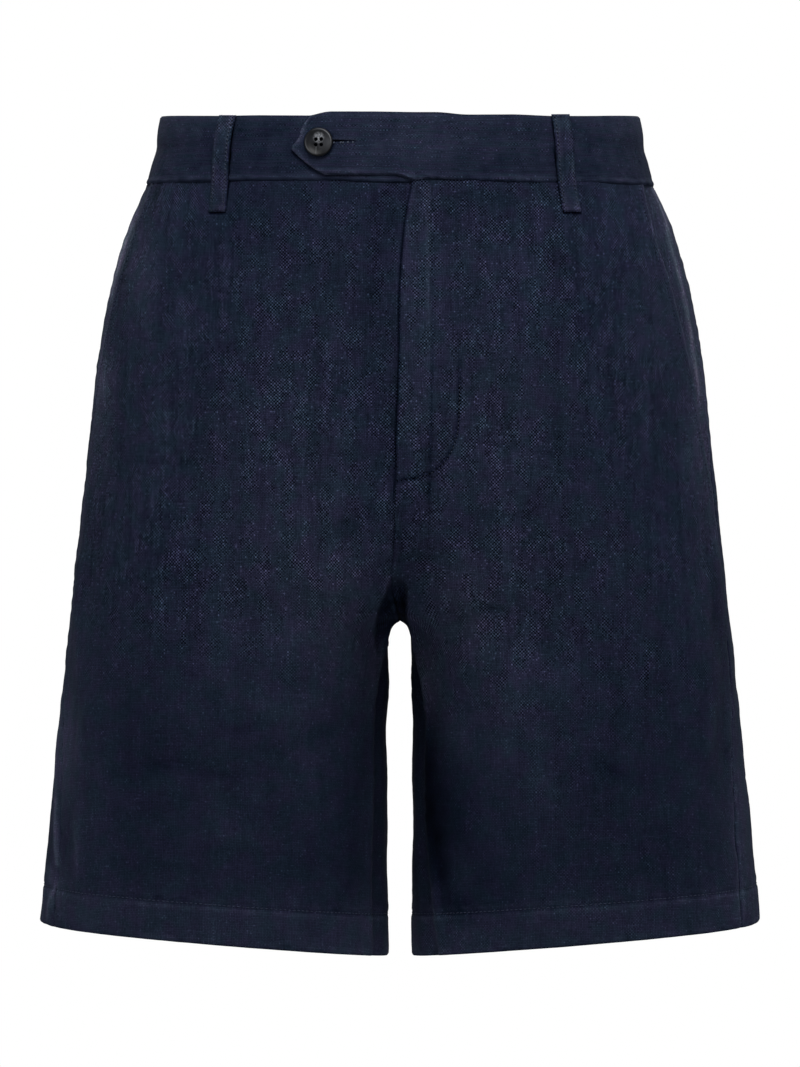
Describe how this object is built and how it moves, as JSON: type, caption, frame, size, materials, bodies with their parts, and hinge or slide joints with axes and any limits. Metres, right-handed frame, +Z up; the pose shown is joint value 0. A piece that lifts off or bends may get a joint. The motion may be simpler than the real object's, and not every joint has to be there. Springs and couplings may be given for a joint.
{
  "type": "bermuda shorts",
  "caption": "Linen bermuda shorts, filled out as worn, with a buttoned tab waistband, belt loops, slanted pockets, a fly and turned-up hems.",
  "frame": {"origin": "centre of the waist opening at the middle of the waistband's height, where the wearer holds the shorts up", "axes": "+Z up out of the waist, -Y is the front of the shorts, +X is the wearer's left"},
  "size_m": [0.4374, 0.2616, 0.5175],
  "materials": {
    "linen": "matt navy linen weave with slubs",
    "horn": "satin dark charcoal, worn at the rim"
  },
  "bodies": {
    "root": {"front_left": "linen", "front_right": "linen", "back_left": "linen", "back_right": "linen", "pocket_facing_left": "linen", "pocket_facing_right": "linen", "waistband_left": "linen", "waistband_right": "linen", "belt_loop_front_left": "linen", "belt_loop_front_right": "linen", "belt_loop_back_left": "linen", "belt_loop_back_right": "linen", "belt_loop_centre_back": "linen", "button": "horn"}
  },
  "joints": []
}
